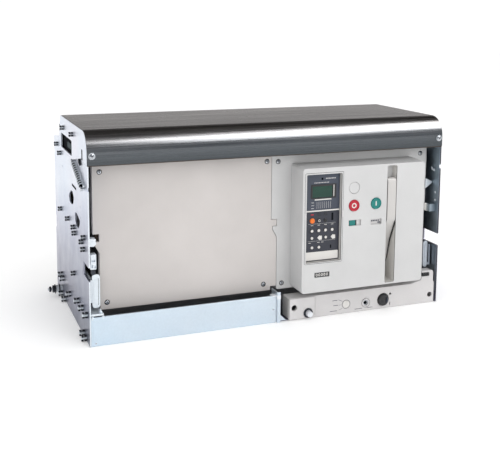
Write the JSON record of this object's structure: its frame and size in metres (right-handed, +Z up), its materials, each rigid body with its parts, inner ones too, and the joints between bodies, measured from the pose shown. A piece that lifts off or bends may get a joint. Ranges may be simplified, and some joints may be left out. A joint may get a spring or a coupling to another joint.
{
  "type": "air circuit breaker",
  "caption": "Drawout air circuit breaker connected in its steel cradle, with front controls, trip unit, charging handle, racking gear and rear terminals.",
  "frame": {"origin": "centre of the cradle's underside, midway between the side plates and between their front and rear edges", "axes": "+X to the right as seen from the front, +Y to the back, +Z up"},
  "size_m": [0.8171, 0.4805, 0.432],
  "materials": {
    "zinc_plate": "bright zinc plated steel",
    "beam_zinc": "blue passivated zinc plated steel",
    "hood_steel": "dark brushed steel sheet",
    "beige_plastic": "fine textured warm grey moulding",
    "grey_plastic": "fine textured light grey moulding",
    "slate_plastic": "satin dark slate moulding",
    "moulded_brown": "matte moulding compound",
    "dark_steel": "dark coated steel",
    "copper": "bare drawn copper",
    "silvered_copper": "silver plated copper bar",
    "bright_steel": "bright plated steel",
    "black_plastic": "satin black moulding",
    "red_plastic": "satin red moulding",
    "green_plastic": "satin teal green moulding",
    "white_plastic": "satin off-white moulding",
    "orange_plastic": "satin orange moulding",
    "lcd_screen": "unlit green display under a clear film"
  },
  "bodies": {
    "cradle": {"cradle_side_left": "zinc_plate", "cradle_side_right": "zinc_plate", "cradle_base": "zinc_plate", "rear_board": "moulded_brown", "terminal_upper_1": "silvered_copper", "terminal_upper_2": "silvered_copper", "terminal_upper_3": "silvered_copper", "terminal_lower_1": "silvered_copper", "terminal_lower_2": "silvered_copper", "terminal_lower_3": "silvered_copper", "hood": "hood_steel", "front_beam": "beam_zinc", "beam_bracket": "beam_zinc", "racking_fascia": "grey_plastic", "interlock_spring": "bright_steel"},
    "rail_left": {"rail_left": "bright_steel"},
    "rail_right": {"rail_right": "bright_steel"},
    "breaker": {"breaker_side_left": "dark_steel", "breaker_side_right": "dark_steel", "left_cover": "beige_plastic", "right_cover": "grey_plastic", "control_mask": "grey_plastic", "trip_unit_display": "slate_plastic", "trip_unit_keypad": "slate_plastic", "operation_counter": "black_plastic", "mechanism_frame": "dark_steel", "closing_spring": "dark_steel", "charging_motor": "dark_steel", "pole_housing": "moulded_brown", "arc_chute_1": "moulded_brown", "arc_chute_2": "moulded_brown", "arc_chute_3": "moulded_brown", "upper_conductor_1": "silvered_copper", "upper_conductor_2": "silvered_copper", "upper_conductor_3": "silvered_copper", "lower_conductor_1": "silvered_copper", "lower_conductor_2": "silvered_copper", "lower_conductor_3": "silvered_copper"},
    "shutter_upper": {"shutter_upper": "white_plastic"},
    "shutter_lower": {"shutter_lower": "white_plastic"},
    "racking_screw": {"racking_screw": "bright_steel"},
    "position_indicator": {"position_indicator": "white_plastic"},
    "crank_handle": {"crank_handle": "black_plastic"},
    "lock_button": {"lock_button": "bright_steel"},
    "rail_release": {"rail_release": "black_plastic"},
    "off_button": {"off_button": "red_plastic"},
    "on_button": {"on_button": "green_plastic"},
    "reset_button": {"reset_button": "white_plastic"},
    "key_1": {"key_1": "white_plastic"},
    "key_2": {"key_2": "white_plastic"},
    "key_3": {"key_3": "white_plastic"},
    "key_4": {"key_4": "white_plastic"},
    "charging_handle": {"charging_handle": "white_plastic"},
    "state_flag": {"state_flag": "green_plastic"},
    "charged_flag": {"charged_flag": "white_plastic"},
    "cam_shaft": {"cam_shaft": "dark_steel"},
    "main_shaft": {"main_shaft": "dark_steel"},
    "moving_contact_1": {"moving_contact_1": "copper"},
    "moving_contact_2": {"moving_contact_2": "copper"},
    "moving_contact_3": {"moving_contact_3": "copper"}
  },
  "joints": [
    {"name": "rails_out", "type": "slide", "parent": "cradle", "child": "rail_left", "axis": [0, -1, 0], "range_m": [0, 0.235]},
    {"name": "rail_right_out", "type": "slide", "parent": "cradle", "child": "rail_right", "axis": [0, -1, 0], "range_m": [0, 0.235]},
    {"name": "rack_out", "type": "slide", "parent": "rail_left", "child": "breaker", "axis": [0, -1, 0], "range_m": [0, 0.05]},
    {"name": "screw_turn", "type": "hinge", "parent": "cradle", "child": "racking_screw", "pos_m": [0.217, -0.209, 0.019], "axis": [0, -1, 0], "range_deg": [0, 3600]},
    {"name": "dial_turn", "type": "hinge", "parent": "cradle", "child": "position_indicator", "pos_m": [0.168, -0.209, 0.021], "axis": [0, 1, 0], "range_deg": [0, 90]},
    {"name": "crank_pull", "type": "slide", "parent": "cradle", "child": "crank_handle", "axis": [0, -1, 0], "range_m": [0, 0.12]},
    {"name": "lock_press", "type": "slide", "parent": "cradle", "child": "lock_button", "axis": [0, 1, 0], "range_m": [0, 0.003], "stiffness_N_per_m": 900},
    {"name": "rail_release_press", "type": "slide", "parent": "cradle", "child": "rail_release", "axis": [0, 1, 0], "range_m": [0, 0.003], "stiffness_N_per_m": 600},
    {"name": "off_press", "type": "slide", "parent": "breaker", "child": "off_button", "axis": [0, 1, 0], "range_m": [0, 0.005], "stiffness_N_per_m": 700},
    {"name": "on_press", "type": "slide", "parent": "breaker", "child": "on_button", "axis": [0, 1, 0], "range_m": [0, 0.005], "stiffness_N_per_m": 700},
    {"name": "reset_press", "type": "slide", "parent": "breaker", "child": "reset_button", "axis": [0, 1, 0], "range_m": [0, 0.005], "stiffness_N_per_m": 700},
    {"name": "key_1_press", "type": "slide", "parent": "breaker", "child": "key_1", "axis": [0, 1, 0], "range_m": [0, 0.001], "stiffness_N_per_m": 900},
    {"name": "key_2_press", "type": "slide", "parent": "breaker", "child": "key_2", "axis": [0, 1, 0], "range_m": [0, 0.001], "stiffness_N_per_m": 900},
    {"name": "key_3_press", "type": "slide", "parent": "breaker", "child": "key_3", "axis": [0, 1, 0], "range_m": [0, 0.001], "stiffness_N_per_m": 900},
    {"name": "key_4_press", "type": "slide", "parent": "breaker", "child": "key_4", "axis": [0, 1, 0], "range_m": [0, 0.001], "stiffness_N_per_m": 900},
    {"name": "handle_swing", "type": "hinge", "parent": "breaker", "child": "charging_handle", "pos_m": [0.2615, -0.164, 0.098], "axis": [1, 0, 0], "range_deg": [0, 60], "stiffness_Nm_per_rad": 0.9, "springref_deg": -17.19},
    {"name": "main_shaft_turn", "type": "hinge", "parent": "breaker", "child": "main_shaft", "pos_m": [0, -0.043, 0.17], "axis": [1, 0, 0], "range_deg": [0, 50]},
    {"name": "state_flag_slide", "type": "slide", "parent": "breaker", "child": "state_flag", "axis": [0, 0, 1], "range_m": [0, 0.0135]},
    {"name": "charged_flag_slide", "type": "slide", "parent": "breaker", "child": "charged_flag", "axis": [0, 0, 1], "range_m": [0, 0.0135]},
    {"name": "cam_turn", "type": "hinge", "parent": "breaker", "child": "cam_shaft", "pos_m": [0.2385, -0.104, 0.13], "axis": [1, 0, 0], "continuous": true},
    {"name": "contact_1_turn", "type": "hinge", "parent": "breaker", "child": "moving_contact_1", "pos_m": [-0.23, -0.001, 0.152], "axis": [-1, 0, 0], "range_deg": [0, 8]},
    {"name": "contact_2_turn", "type": "hinge", "parent": "breaker", "child": "moving_contact_2", "pos_m": [0, -0.001, 0.152], "axis": [-1, 0, 0], "range_deg": [0, 8]},
    {"name": "contact_3_turn", "type": "hinge", "parent": "breaker", "child": "moving_contact_3", "pos_m": [0.23, -0.001, 0.152], "axis": [-1, 0, 0], "range_deg": [0, 8]},
    {"name": "shutter_upper_slide", "type": "slide", "parent": "cradle", "child": "shutter_upper", "axis": [0, 0, -1], "range_m": [0, 0.066]},
    {"name": "shutter_lower_slide", "type": "slide", "parent": "cradle", "child": "shutter_lower", "axis": [0, 0, 1], "range_m": [0, 0.066]}
  ],
  "couplings": [
    {"joint": "rail_right_out", "follows": "rails_out", "ratio": 1},
    {"joint": "shutter_upper_slide", "follows": "rails_out", "ratio": 0.28},
    {"joint": "shutter_lower_slide", "follows": "rails_out", "ratio": 0.28},
    {"joint": "screw_turn", "follows": "rack_out", "rad_per_m": 1256.6},
    {"joint": "dial_turn", "follows": "rack_out", "rad_per_m": 31.416},
    {"joint": "state_flag_slide", "follows": "main_shaft_turn", "m_per_rad": 0.01547},
    {"joint": "contact_1_turn", "follows": "main_shaft_turn", "ratio": 0.16},
    {"joint": "contact_2_turn", "follows": "main_shaft_turn", "ratio": 0.16},
    {"joint": "contact_3_turn", "follows": "main_shaft_turn", "ratio": 0.16}
  ]
}
